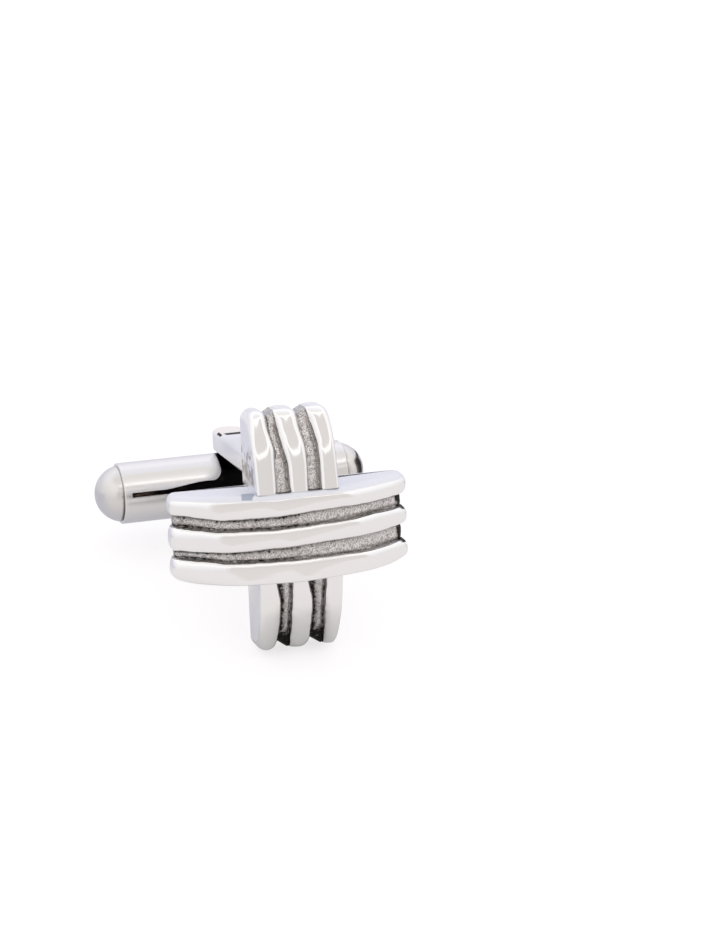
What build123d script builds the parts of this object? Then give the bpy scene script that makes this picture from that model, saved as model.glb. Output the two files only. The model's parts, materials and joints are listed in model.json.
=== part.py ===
from build123d import *
from math import acos, asin, atan2, degrees, hypot
import os

# Cross cufflink in polished steel with a swivelling bullet toggle. Millimetres.
# Head frame: x runs along the front bar, y along the rear bar, z out of the face,
# and z = 0 is the flat back. The last step lays the whole link on a flat surface.

# Front bar, the one that crosses over the other
front_length = 16.5
front_width = 6.0
front_crown = 4.5
front_end = 1.4

# Rear bar, whose back carries the posts
rear_length = 16.6
rear_width = 5.7
rear_crown = 4.2
rear_end = 2.2

# Ribs and grooves of both bars
end_corner = 0.8
back_corner = 0.5
groove_depth = 0.5
lobe_round = 0.45

# Two flat posts with round far ends, soldered a little below the rear bar's middle
post_width = 2.3
post_thick = 1.65
post_reach = 15.2
post_drop = 0.12
post_edge = 0.35

# Toggle: a tube with a domed cap in each end and a tapered leaf inside. Its length
# is the front bar's and an overhang at each end.
toggle_radius = 2.2
toggle_wall = 0.4
toggle_overhang = 1.85
toggle_turn = 1.5
tube_edge = 0.1
cap_radius = 2.06
cap_sink = 0.38
cap_shank = 0.5
leaf_half = 1.1
leaf_tip = 0.12
swing_gap = 0.1
fit_gap = 0.03

# Slot in the toggle's left half, and the openings that it flares into. The land is
# the whole ring of tube that is left beyond the slot's narrow end.
slot_land = 0.54
slot_half = 0.16
slot_rise = 0.24
flare_start = 5.4
flare_half = 0.46
flare_bulge = 0.06
lip_reach = 1.13
lip_round = 0.75
opening_reach = 1.3

# Pivot pin between the posts
pin_radius = 0.5
pin_running_gap = 0.04
pin_seat = 0.8

# Groove edges as shares of a bar's width, from its middle line. The place runs
# from one end of the bar, -1, to the other, 1.
FRONT_GROOVES = [
    # place, low groove far, low groove near, high groove near, high groove far
    (-1.00, -0.235, -0.100, 0.185, 0.290),
    (-0.62, -0.245, -0.115, 0.128, 0.272),
    (-0.20, -0.247, -0.103, 0.117, 0.248),
    (0.28, -0.255, -0.085, 0.125, 0.275),
    (0.68, -0.275, -0.090, 0.130, 0.262),
    (1.00, -0.275, -0.092, 0.108, 0.258),
]
REAR_GROOVES = [
    # place, low groove far, low groove near, high groove near, high groove far
    (-1.00, -0.280, -0.115, 0.135, 0.285),
    (-0.72, -0.276, -0.120, 0.126, 0.270),
    (-0.36, -0.284, -0.070, 0.136, 0.305),
    (0.36, -0.275, -0.095, 0.098, 0.280),
    (0.68, -0.294, -0.122, 0.090, 0.246),
    (1.00, -0.218, -0.090, 0.158, 0.284),
]


def bar_side(length, crown, end, inset=0.0):
    """The half moon seen from the side of a bar: x along it, y out of the face."""
    half = length / 2 - inset
    low = end - inset
    with BuildSketch() as sketch:
        with BuildLine():
            Polyline((-half, low), (-half, 0), (half, 0), (half, low))
            ThreePointArc((half, low), (0, crown - inset), (-half, low))
        make_face()
        fillet(sketch.vertices().group_by(Axis.Y)[-1], end_corner)
        fillet(sketch.vertices().group_by(Axis.Y)[0], back_corner)
    return sketch.sketch


def across(profile, width):
    """Extrude a side profile to a width, with the bar along x and its face at +z."""
    return Rot(90, 0, 0) * extrude(profile, amount=width / 2, both=True)


def rib_outline(length, low_edge, high_edge):
    """The face outline of one rib, between two edges given as lists of points."""
    with BuildSketch() as sketch:
        with BuildLine():
            low = Spline(*low_edge) if len(low_edge) > 2 else Line(*low_edge)
            high = Spline(*high_edge) if len(high_edge) > 2 else Line(*high_edge)
            Line(low @ 0, high @ 0)
            Line(low @ 1, high @ 1)
        make_face()
        fillet(sketch.vertices(), lobe_round)
    return sketch.sketch


def ribbed_bar(length, width, crown, end, grooves):
    """One bar: a core with the groove floors, and three ribs standing proud of it."""
    half = length / 2
    side = width / 2
    edges = [[(row[0] * half, row[i] * width) for row in grooves] for i in range(1, 5)]
    bottom = [(-half, -side), (half, -side)]
    top = [(-half, side), (half, side)]
    moon = across(bar_side(length, crown, end), width)
    bar = across(bar_side(length, crown, end, groove_depth), width - 2 * lobe_round)
    for low_edge, high_edge in ((bottom, edges[0]), (edges[1], edges[2]), (edges[3], top)):
        bar += extrude(rib_outline(length, low_edge, high_edge), amount=crown) & moon
    return bar


def post(side):
    """A flat bar from inside the head's back to the pivot, round at its far end."""
    root = rear_end / 2
    with BuildSketch(Plane.XZ) as face:
        with Locations((0, (root - post_reach) / 2)):
            Rectangle(post_width, post_reach + root)
        with Locations((0, -post_reach)):
            Circle(post_width / 2)
    bar = extrude(face.sketch, amount=post_thick / 2, both=True)
    bar = fillet(bar.edges().filter_by(lambda e: e.center().Z < 0), post_edge)
    seat = Cylinder(pin_radius + fit_gap, pin_seat + fit_gap)
    inner = side * (pin_seat + fit_gap - post_thick) / 2
    bar -= Pos(0, inner, -post_reach) * Rot(90, 0, 0) * seat
    place = side * (toggle_radius + swing_gap + post_thick / 2) - post_drop
    return Pos(0, place, 0) * bar


def cross_head():
    """Both bars cast as one cross, with the two posts soldered to its back."""
    front = ribbed_bar(front_length, front_width, front_crown, front_end, FRONT_GROOVES)
    rear = ribbed_bar(rear_length, rear_width, rear_crown, rear_end, REAR_GROOVES)
    crossing = across(bar_side(front_length, front_crown, front_end), front_width)
    return front + (Rot(0, 0, 90) * rear - crossing) + post(1) + post(-1)


def pivot_pin():
    """A plain pin from post to post, with its ends hidden in blind seats."""
    span = 2 * (toggle_radius + swing_gap + pin_seat)
    return Pos(0, -post_drop, -post_reach) * Rot(90, 0, 0) * Cylinder(pin_radius, span)


def along_x(radius, start, stop):
    """A round bar along x between two places."""
    return Pos((start + stop) / 2, 0, 0) * Rot(0, 90, 0) * Cylinder(radius, stop - start)


def cap_place():
    """How far from the pivot each cap's flat shoulder sits."""
    return front_length / 2 + toggle_overhang + cap_sink - cap_radius


def tube_half():
    """Half the length of the tube, which ends just short of the shoulders."""
    return cap_place() - fit_gap


def slot_far_end():
    """How far from the pivot the slot's narrow end lies."""
    return tube_half() - slot_land


def slot_cutter():
    """The slot seen from the head: narrow, then flaring round two lips."""
    lip = -lip_reach
    far_end = slot_far_end()
    beyond = 2 * toggle_radius
    with BuildSketch() as cut:
        with BuildLine():
            flare = Spline(
                (-flare_start, slot_half),
                (
                    (lip - lip_round - flare_start) / 2,
                    (slot_half + flare_half) / 2 + flare_bulge,
                ),
                (lip - lip_round, flare_half),
                tangents=((1, 0), (1, 0)),
            )
            corner = JernArc(flare @ 1, (1, 0), lip_round, 90)
            Polyline(corner @ 1, (lip, beyond), (opening_reach, beyond), (opening_reach, 0))
            Polyline((opening_reach, 0), (-far_end, 0), (-far_end, slot_half), flare @ 0)
        make_face()
        mirror(about=Plane.XZ)
    return Pos(0, slot_rise, 0) * extrude(cut.sketch, amount=beyond)


def toggle_tube():
    """The tube of the toggle, slotted on the side that faces the head."""
    half = tube_half()
    tube = along_x(toggle_radius, -half, half)
    tube = fillet(tube.edges().filter_by(GeomType.CIRCLE), tube_edge)
    tube -= along_x(toggle_radius - toggle_wall, -2 * half, 2 * half)
    deep = pin_radius + pin_running_gap + swing_gap
    opening = Box(lip_reach + opening_reach, 4 * toggle_radius, 2 * deep)
    return tube - slot_cutter() - Pos((opening_reach - lip_reach) / 2, 0, 0) * opening


def toggle_cap(side):
    """A domed end, a little less than half a ball, on a short shank in the tube."""
    place = cap_place()
    shank = toggle_radius - toggle_wall - fit_gap
    with BuildSketch() as profile:
        with BuildLine():
            dome = CenterArc((place - cap_sink, 0), cap_radius, 0, degrees(acos(cap_sink / cap_radius)))
            Polyline(
                dome @ 1, (place, shank), (place - cap_shank, shank),
                (place - cap_shank, 0), dome @ 0,
            )
        make_face()
    return Rot(0, 0, 90 - 90 * side) * revolve(profile.sketch, Axis.X)


def toggle_leaf():
    """The inner bar, tapered to a leaf under the slot, that the pin runs through."""
    start = -slot_far_end()
    stop = cap_place() - cap_shank - fit_gap
    bar = along_x(toggle_radius - toggle_wall - fit_gap, start + fit_gap, stop)
    with BuildSketch() as outline:
        with BuildLine():
            Polyline(
                (start, 0), (start, leaf_tip), (-lip_reach, leaf_half),
                (opening_reach, leaf_half), (opening_reach, toggle_radius),
                (stop, toggle_radius), (stop, 0), (start, 0),
            )
        make_face()
        mirror(about=Plane.XZ)
    bar &= extrude(outline.sketch, amount=toggle_radius, both=True)
    return bar - Rot(90, 0, 0) * Cylinder(pin_radius + pin_running_gap, 4 * toggle_radius)


def lean_angle():
    """The lean at which the lower arm's back corner and the lower post's end touch down."""
    post_face = post_drop + toggle_radius + swing_gap + post_thick
    along_post = post_reach + post_width / 2 - post_edge + back_corner
    along_arm = (rear_length / 2 - back_corner) - (post_face - post_edge)
    lift = asin((back_corner - post_edge) / hypot(along_post, along_arm))
    return degrees(atan2(along_arm, along_post) + lift)


pivot = Pos(0, -post_drop, -post_reach)
toggle = pivot * Rot(0, toggle_turn, 0)
nodes = {
    "cross_head": cross_head(),
    "pivot_pin": pivot_pin(),
    "toggle_tube": toggle * toggle_tube(),
    "toggle_cap_left": toggle * toggle_cap(-1),
    "toggle_cap_right": toggle * toggle_cap(1),
    "toggle_leaf": toggle * toggle_leaf(),
}

# Lay the link down: the face looks to -y and leans back by the lean angle
upright = Rot(90 - lean_angle(), 0, 0)
laid = {name: upright * solid for name, solid in nodes.items()}
box = Compound(list(laid.values())).bounding_box()
home = Pos(-box.center().X, -box.center().Y, -box.min.Z)

os.makedirs("parts", exist_ok=True)
for name, solid in laid.items():
    piece = home * solid
    piece.label = name
    export_step(piece, f"parts/{name}.step")

print("lean", lean_angle(), "pivot", *(home * upright * pivot).position, "box", box.size)
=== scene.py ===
# %% [markdown]
# # A cross cufflink in polished steel
#
# The real link is cast and hand polished. Its head is a cross of two half-moon bars,
# each with three bright ribs and two blackened grooves. Two flat posts behind the head
# hold a bullet toggle, a slotted tube with a dome in each end, that turns on a pin.
# The engineering model already says where every piece is, so the first cell loads it
# as a fixed frame. Everything after it is modelled in metres around that frame.

# %% Load the frame
import json
import math

import bmesh
import bpy
import numpy as np
from mathutils import Matrix, Vector, noise


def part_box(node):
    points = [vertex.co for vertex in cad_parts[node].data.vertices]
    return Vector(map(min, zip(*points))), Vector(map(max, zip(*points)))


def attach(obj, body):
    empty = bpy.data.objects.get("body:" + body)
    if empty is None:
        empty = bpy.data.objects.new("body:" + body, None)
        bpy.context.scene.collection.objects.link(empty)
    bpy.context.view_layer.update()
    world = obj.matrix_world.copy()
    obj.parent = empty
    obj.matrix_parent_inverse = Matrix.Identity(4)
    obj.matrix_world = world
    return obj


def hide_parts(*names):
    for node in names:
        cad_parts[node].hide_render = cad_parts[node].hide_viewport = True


MM = 0.001
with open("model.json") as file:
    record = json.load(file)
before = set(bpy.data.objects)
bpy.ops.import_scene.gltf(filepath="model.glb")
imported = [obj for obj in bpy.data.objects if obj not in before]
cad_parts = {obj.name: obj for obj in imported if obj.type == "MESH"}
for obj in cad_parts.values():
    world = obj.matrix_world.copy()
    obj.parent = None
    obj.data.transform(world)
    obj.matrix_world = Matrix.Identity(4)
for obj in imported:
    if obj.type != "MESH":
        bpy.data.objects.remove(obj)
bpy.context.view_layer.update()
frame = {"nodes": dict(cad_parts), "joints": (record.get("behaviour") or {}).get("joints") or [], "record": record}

# %% [markdown]
# ## Axes of the head and of the toggle
#
# The link leans back on its lower arm, so nothing on it lines up with the world. It is
# far easier to model each piece in its own straight frame and turn it at the end. The
# pin's axis runs up the rear bar, and the front bar runs along world X. Their cross
# product points out of the face. Sizes are read off the frame's nodes by projecting
# their vertices on such an axis, so no outer size is typed twice.

# %% Axes and a ruler
joint = frame["joints"][0]
pivot = np.array(joint["pos_m"])
pivot_place = pivot / MM
up_rear_bar = np.array(joint["axis"])
along_front_bar = np.array((1.0, 0.0, 0.0))
out_of_face = np.cross(along_front_bar, up_rear_bar)
head_axes = np.array((along_front_bar, up_rear_bar, out_of_face))


def reach(name, axis):
    """How far a node reaches along an axis, both ways from the pivot, in millimetres."""
    points = np.array([v.co for v in frame["nodes"][name].data.vertices], float)
    places = (points / MM - pivot_place) @ axis
    return places.min(), places.max()


def middle(name):
    """The middle of a node's box, in millimetres."""
    low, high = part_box(name)
    return np.array((low + high) / 2) / MM


mounts = {mount["name"]: mount for mount in frame["record"]["mounts"]}
to_back = (np.array(mounts["head_back"]["pos_m"]) - pivot) / MM
post_reach = to_back @ out_of_face
post_drop = to_back @ up_rear_bar
head_place = pivot_place + out_of_face * post_reach + up_rear_bar * post_drop
toggle_way = middle("toggle_cap_right") - middle("toggle_cap_left")
toggle_way /= np.linalg.norm(toggle_way)
toggle_axes = np.array((toggle_way, up_rear_bar, np.cross(toggle_way, up_rear_bar)))
print("posts reach", round(post_reach, 3), "mm behind the head,", round(post_drop, 3), "mm low")


def to_row(points, axes, place):
    """Points of a piece's own frame, in millimetres, as points of the row in metres."""
    return (np.asarray(points, float) @ axes + place) * MM


# %% [markdown]
# ## The side of a bar
#
# Seen from the side a bar is a half moon: a flat back, two short ends and a long arc
# for a face, with its corners rounded. A bar could be cut from a cube with booleans,
# but then the grooves would have no even grid to follow. Instead the half moon is worked
# out as one row of points, from one back corner over the crown to the other. The
# groove floors follow a second, smaller half moon with as many points, so that a
# groove of any depth is just a mix of the two.

# %% The half moon
end_corner = 0.8
back_corner = 0.5
BACK_STEPS = 8
END_STEPS = 4
CORNER_STEPS = 10
CROWN_STEPS = 250


def crown_radius(half, crown, end):
    """The radius of the long arc from one end of a bar over its crown to the other."""
    return (half ** 2 + (crown - end) ** 2) / (2 * (crown - end))


def half_moon(half, crown, end):
    """Points (x, z) from the left back corner over the crown to the right one."""
    corner, back = end_corner, back_corner
    radius = crown_radius(half, crown, end)
    centre_z = crown - radius
    shoulder_z = centre_z + math.sqrt((radius - corner) ** 2 - (half - corner) ** 2)
    meet = math.atan2(half - corner, shoulder_z - centre_z)
    turn = np.linspace(-90, 0, BACK_STEPS, endpoint=False) * math.pi / 180
    back_arc = np.c_[half - back + back * np.cos(turn), back + back * np.sin(turn)]
    rise = np.linspace(back, shoulder_z, END_STEPS, endpoint=False)
    end_line = np.c_[np.full(END_STEPS, half), rise]
    turn = np.linspace(0, math.pi / 2 - meet, CORNER_STEPS, endpoint=False)
    corner_arc = np.c_[half - corner + corner * np.cos(turn), shoulder_z + corner * np.sin(turn)]
    turn = np.linspace(meet, 0, CROWN_STEPS // 2, endpoint=False)
    face_arc = np.c_[radius * np.sin(turn), centre_z + radius * np.cos(turn)]
    right = np.vstack((back_arc, end_line, corner_arc, face_arc))
    return np.vstack((right * (-1, 1), ((0.0, crown),), right[::-1]))


# %% [markdown]
# ## Ribs and grooves
#
# On the real link the grooves were cast, blackened, and then the ribs were polished
# bright, so each groove has its own wandering edges. A displacement map could press
# the grooves into a plain bar, but its edges would be stepped. Here every column of the
# grid runs along a groove's edge, so the edge is crisp with few faces. Across the bar a
# rib is a superellipse: nearly flat on top, then rolling down into the groove. Near the
# ends of the bar it becomes a plain ellipse, and that makes the round lobes.
# The tables give the groove edges as shares of the bar's width.

# %% Groove edges and the shape of a rib
FRONT_GROOVES = [
    # place, low groove far, low groove near, high groove near, high groove far
    (-1.00, -0.207, -0.130, 0.150, 0.272),
    (-0.80, -0.222, -0.136, 0.124, 0.252),
    (-0.62, -0.245, -0.137, 0.111, 0.227),
    (-0.20, -0.247, -0.110, 0.115, 0.248),
    (0.28, -0.255, -0.092, 0.125, 0.272),
    (0.68, -0.272, -0.100, 0.130, 0.258),
    (1.00, -0.272, -0.096, 0.110, 0.256),
]
REAR_GROOVES = [
    # place, low groove far, low groove near, high groove near, high groove far
    (-1.00, -0.300, -0.140, 0.112, 0.265),
    (-0.72, -0.284, -0.152, 0.124, 0.238),
    (-0.55, -0.284, -0.142, 0.121, 0.246),
    (-0.36, -0.286, -0.090, 0.121, 0.294),
    (0.36, -0.272, -0.138, 0.098, 0.246),
    (0.58, -0.282, -0.152, 0.098, 0.234),
    (0.72, -0.288, -0.158, 0.128, 0.217),
    (0.86, -0.252, -0.125, 0.158, 0.255),
    (1.00, -0.208, -0.112, 0.178, 0.262),
]
RIB_STEPS = 13
FLOOR_STEPS = 11
COLUMNS = 6 * RIB_STEPS + 2 * FLOOR_STEPS - 1
FLOORS = (2 * RIB_STEPS, 4 * RIB_STEPS + FLOOR_STEPS - 1)
ON_FLOOR = np.array([any(0 <= i - at < FLOOR_STEPS for at in FLOORS) for i in range(COLUMNS)])
# How black a groove's walls are, from the floor up: the wall that is seen, the far one
SEEN_WALL = (1.0, 1.0, 0.9, 0.5, 0.0, 0.0, 0.0)
FAR_WALL = (1.0, 0.7, 0.0)
far_wall_soot_and_shade = 0.8
# Depths below the face and lengths, in millimetres
inset = 0.5
rib_drop = 0.52
rim_step = 0.03
rim_width = 0.12
rim_height = 0.15
floor_mid = 0.49
floor_edge = 0.57
end_length = 1.0
end_fade = 1.5
# Unevenness that hand work leaves
edge_wander = 0.035
crown_wave = 0.006
grain_height = 0.012
facet_rub = 0.9
floor_facets = 0.7
tip_squareness = 2.0


def smooth_curve(places, values, at):
    """A smooth curve through a few values, without overshooting between them."""
    places = np.asarray(places, float)
    values = np.asarray(values, float)
    steps = np.diff(places)
    slopes = np.diff(values) / steps
    inner = np.where(slopes[:-1] * slopes[1:] > 0, (slopes[:-1] + slopes[1:]) / 2, 0)
    tangents = np.concatenate((slopes[:1], inner, slopes[-1:]))
    k = np.clip(np.searchsorted(places, at) - 1, 0, len(steps) - 1)
    t = (at - places[k]) / steps[k]
    lift = (1 - t) ** 2 * (1 + 2 * t) * values[k] + t ** 2 * (3 - 2 * t) * values[k + 1]
    return lift + steps[k] * (t * (1 - t) ** 2 * tangents[k] - t ** 2 * (1 - t) * tangents[k + 1])


def ripple(x, y, size, seed):
    """Smooth noise between about -1 and 1, the same on each run."""
    return noise.noise(Vector((x / size, y / size, seed * 7.31)))


def rib_side(drop, squareness, steps=RIB_STEPS):
    """Shares across (1 at the rib's foot, 0 on its middle line) and depths below its top."""
    turn = np.linspace(0, math.pi / 2, steps)
    foot = np.cos(turn) ** (2 / squareness)
    depth = drop * (1 - np.sin(turn) ** (2 / squareness))
    return foot, depth


print("columns across a bar", COLUMNS)

# %% [markdown]
# The next cell turns half moon, table and rib shape into one closed mesh. Each row of
# the grid is one place along the side of the bar. Its columns go across the width: rib,
# groove, rib, groove, rib, and at both ends the rim of the flat side face. Hand
# polishing leaves long flat facets on the ribs, with soft corners between them, and
# those give the bright patches their shapes. Three values are kept with every point,
# because the materials need them later: black says where the cast skin is,
# soot_and_shade how dark it is there, from soot and from painted shade, and side where
# the flat side faces are.

# %% One bar as a grid
def facet_dips(half, crown, end, look):
    """Places along a bar, and how far its facets lie under the crown's arc there."""
    corners = np.array(look["facets"]) * half
    places = np.linspace(-half, half, 801)
    k = np.clip(np.searchsorted(corners, places), 1, len(corners) - 1)
    chord = np.maximum((places - corners[k - 1]) * (corners[k] - places), 0)
    dips = chord * look["facet_share"] / (2 * crown_radius(half, crown, end))
    rub = np.hanning(2 * int(facet_rub / (places[1] - places[0])) + 1)
    return places, np.convolve(dips, rub / rub.sum(), "same")


def rib_columns(low, high, low_shape, high_shape):
    """One rib between two edges: places across the bar, depths, and zeros."""
    centre = (low + high) / 2
    half = (high - low) / 2
    across = np.r_[centre - half * low_shape[0], centre + half * high_shape[0][-2::-1]]
    return across, np.r_[low_shape[1], high_shape[1][-2::-1]], np.zeros(len(across))


def groove_columns(low, high):
    """One groove floor: places across the bar, depths, and shares across it, -1 to 1."""
    share = np.linspace(-1, 1, FLOOR_STEPS + 2)[1:-1]
    across = (low + high) / 2 + (high - low) / 2 * share
    return across, floor_mid + (floor_edge - floor_mid) * np.abs(share) ** 3, share


def tip_share(x, half, length):
    """0 along the bar, rising smoothly to 1 at its end, over a length."""
    return float(np.clip((abs(x) - half + length) / length, 0, 1)) ** 2


def rib_shapes(x, place, half, look):
    """Shapes of the ribs' sides at one place: by the grooves, and on the outside."""
    this_half = int(x >= 0)
    tip = tip_share(x, half, look["tip_length"])
    square = look["squareness"] + (tip_squareness - look["squareness"]) * tip
    end_share = tip_share(x, half, end_length)
    by_grooves = [
        rib_side(rib_drop * (1 + (end_floor - 1) * end_share), square)
        for end_floor in look["end_floors"][this_half]
    ]
    outside = []
    for rub, (nose_length, nose_drop) in zip(look["sides"], look["noses"][this_half]):
        places, *rubs = np.array(rub).T
        drop, square = [np.interp(place, places, values) for values in rubs]
        nose = tip_share(x, half, nose_length)
        square += (tip_squareness - square) * math.sqrt(nose)
        outside.append(rib_side(drop + (nose_drop - drop) * nose, square))
    return by_grooves, outside


def skin_values(x, place, half, look, shares):
    """How black every column is at one place along a bar, and how dark from soot and painted shade."""
    this_half = int(x >= 0)
    places, *bands = np.array(look["shade"]).T
    low, high = [np.interp(place, places, band) for band in bands]
    low_depth, high_depth = look["shade_depth"][this_half]
    end_soot_and_shade, length = look["end_soot_and_shade"][this_half]
    at_end = float(np.clip(end_fade * (abs(x) - half + length) / length, 0, 1))
    # Painted shade: dark bands at a floor's two sides, where the ribs' walls shade it, laid over the soot of the
    # cast skin, and more of both at the bar's ends.
    low_soot_and_shade = low_depth * np.clip((low - 1 - shares) / low, 0, 1)
    high_soot_and_shade = high_depth * np.clip((high - 1 + shares) / high, 0, 1)
    black = ON_FLOOR.astype(float)
    soot_and_shade = np.maximum(np.maximum(low_soot_and_shade, high_soot_and_shade), end_soot_and_shade * at_end) * black
    wall_end = at_end * look["wall_ends"][this_half]
    # The walls are darkened by soot and by painted shade.
    for start in FLOORS:
        seen = slice(start - len(SEEN_WALL), start)
        far = slice(start + FLOOR_STEPS, start + FLOOR_STEPS + len(FAR_WALL))
        black[seen] = np.clip(np.array(SEEN_WALL[::-1]) + wall_end, 0, 1)
        soot_and_shade[seen] = max(look["wall_soot_and_shade"][this_half], end_soot_and_shade * at_end)
        black[far] = FAR_WALL
        soot_and_shade[far] = far_wall_soot_and_shade
    return black, soot_and_shade


def bar_grid(half, side, crown, end, look, seed):
    """Rows of (x, y, z), and the black, soot and side values, for one ribbed bar."""
    outer = half_moon(half, crown, end)
    inner = half_moon(half - inset, crown - inset, end - inset)
    places, *tables = np.array(look["grooves"]).T
    facet_places, dips = facet_dips(half, crown, end, look)
    rows, values = [], []
    for (x, z), (x_in, z_in) in zip(outer, inner):
        place = float(np.clip(x / half, -1, 1))
        edges = [smooth_curve(places, table, place) * 2 * side for table in tables]
        for i in range(4):
            edges[i] += edge_wander * ripple(x + z, i * 3.0, 1.1, seed)
            edges[i] += edge_wander / 2 * ripple(x + z, i * 5.0, 0.35, seed)
        (seen_side, far_side), outside = rib_shapes(x, place, half, look)
        parts = (
            ([-side], [outside[0][1][0] + rim_step], [0.0]),
            rib_columns(-side, edges[0], outside[0], seen_side),
            groove_columns(edges[0], edges[1]),
            rib_columns(edges[1], edges[2], far_side, seen_side),
            groove_columns(edges[2], edges[3]),
            rib_columns(edges[3], side, far_side, outside[1]),
            ([side], [outside[1][1][0] + rim_step], [0.0]),
        )
        across, drops, shares = [np.concatenate(columns) for columns in zip(*parts)]
        this_half = int(x >= 0)
        end_share = tip_share(x, half, end_length)
        end_floor = np.interp(shares, (-1, 1), look["end_floors"][this_half])
        drops += look["tip_sink"][this_half] * end_share
        for i, y in enumerate(across):
            if ON_FLOOR[i]:
                drops[i] *= 1 + (end_floor[i] - 1) * end_share
                drops[i] += grain_height * (
                    ripple(x + z, y, 0.13, seed + 1) + ripple(x + z, y, 0.3, seed + 2)
                )
                if z > end:
                    drops[i] += floor_facets * np.interp(x, facet_places, dips)
            else:
                drops[i] += crown_wave * (1 + ripple(x + z, y * 0.6, 2.1, seed + 3))
                if z > end:
                    drops[i] += np.interp(x + look["facet_slant"] * y, facet_places, dips)
        share = drops / inset
        from_rim = np.clip(side - np.abs(across), 0, rim_width)
        lift = look["back_lift"] + rim_height * (1 - from_rim / rim_width)
        height = np.maximum(z + (z_in - z) * share, lift)
        rows.append(np.c_[x + (x_in - x) * share, across, height])
        flat = np.abs(across) > side - 1e-6
        flat[-look["soft_side"]:] = True
        values.append(np.c_[(*skin_values(x, place, half, look, shares), flat)])
    values = np.array(values)
    values[[0, 1, -2, -1], :, :2] = 0
    return np.array(rows), values


def mesh_of(name, points, faces):
    """A mesh of these points and faces."""
    mesh = bpy.data.meshes.new(name)
    mesh.from_pydata(points, [], faces)
    mesh.update()
    return mesh


def quads(count, wide, wrap_rows, wrap_columns):
    """The faces of a grid of points, closed to a loop along its rows or columns or both."""
    faces = []
    for r in range(count if wrap_rows else count - 1):
        s = (r + 1) % count
        for c in range(wide if wrap_columns else wide - 1):
            d = (c + 1) % wide
            faces.append((r * wide + c, r * wide + d, s * wide + d, s * wide + c))
    return faces


def grid_mesh(name, rows):
    """A closed mesh from a grid that is wrapped round along its rows, with flat side faces."""
    count, wide = rows.shape[:2]
    faces = quads(count, wide, True, False)
    faces.append([r * wide for r in range(count)])
    faces.append([r * wide + wide - 1 for r in reversed(range(count))])
    return mesh_of(name, rows.reshape(-1, 3), faces)


front_low, front_high = reach("cross_head", along_front_bar)
rear_low, rear_high = reach("cross_head", up_rear_bar)
face_low, face_high = reach("cross_head", out_of_face)
front_half = (front_high - front_low) / 2
rear_half = (rear_high - rear_low) / 2
front_crown = face_high - post_reach
front_side = 3.0
front_end = 1.4
rear_side = 2.85
rear_crown = 4.2
rear_end = 2.2
print("front bar", round(2 * front_half, 2), "rear bar", round(2 * rear_half, 2), "mm")
print("crown", round(front_crown, 2), "mm above the back")

# %% [markdown]
# ## Both bars as one cross
#
# The real head is a single casting, so the two bars are united with a boolean and not
# just pushed through each other. The manifold solver is quick on dense closed meshes.
# The rear bar first loses what the front bar covers, or its ribs would stand in the
# front bar's grooves. Booleans can drop stored values, so the three values are looked
# up afterwards, from the nearest grid point.

# %% Helpers for solid pieces
def object_of(mesh):
    """A new object in the scene with this mesh."""
    made = bpy.data.objects.new(mesh.name, mesh)
    bpy.context.scene.collection.objects.link(made)
    return made


def combine(base, other, operation):
    """Apply a boolean of two objects to the first one, and delete the second."""
    step = base.modifiers.new("solid", "BOOLEAN")
    step.operation = operation
    step.object = other
    step.solver = "MANIFOLD"
    bake(base)
    bpy.data.objects.remove(other)
    return base


def bake(piece):
    """Apply every modifier of an object."""
    graph = bpy.context.evaluated_depsgraph_get()
    done = bpy.data.meshes.new_from_object(piece.evaluated_get(graph))
    piece.modifiers.clear()
    piece.data = done
    done.name = piece.name
    return piece


def smooth(piece, angle=35):
    """Shade smooth, but keep every edge that is sharper than the angle."""
    mesh = piece.data
    mesh.polygons.foreach_set("use_smooth", [True] * len(mesh.polygons))
    mesh.set_sharp_from_angle(angle=math.radians(angle))
    return piece


def report(piece):
    """Print how many triangles a piece has and whether it is closed."""
    work = bmesh.new()
    work.from_mesh(piece.data)
    open_edges = sum(1 for edge in work.edges if len(edge.link_faces) != 2)
    triangles = sum(len(face.verts) - 2 for face in work.faces)
    work.free()
    print(piece.name, triangles, "triangles,", open_edges, "open edges")


# %% [markdown]
# Each bar has a look of its own, worked out from the picture. Pairs in it are for the
# bar's first and second half, and inside those for its low and its high side.
#
# - squareness, tip_length: how flat a rib's top is, and how far from the ends that fades.
# - sides, noses: how far and how round the outermost edges are rubbed, along the bar
#   and at its ends. soft_side counts the columns there that count as side face.
# - facets, facet_share, facet_slant: where the polished facets meet, and how plainly.
# - end_floors, tip_sink: how deep the floors and ribs are at the ends, as a share and in
#   millimetres. back_lift keeps the two flat backs from lying in one plane.
# - shade, shade_depth, wall_soot_and_shade, end_soot_and_shade, wall_ends: how broad and
#   dark the bands at a floor's two sides are, how dark its walls are, and both at the ends.
#   That darkness is soot with painted shade in it.

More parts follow.
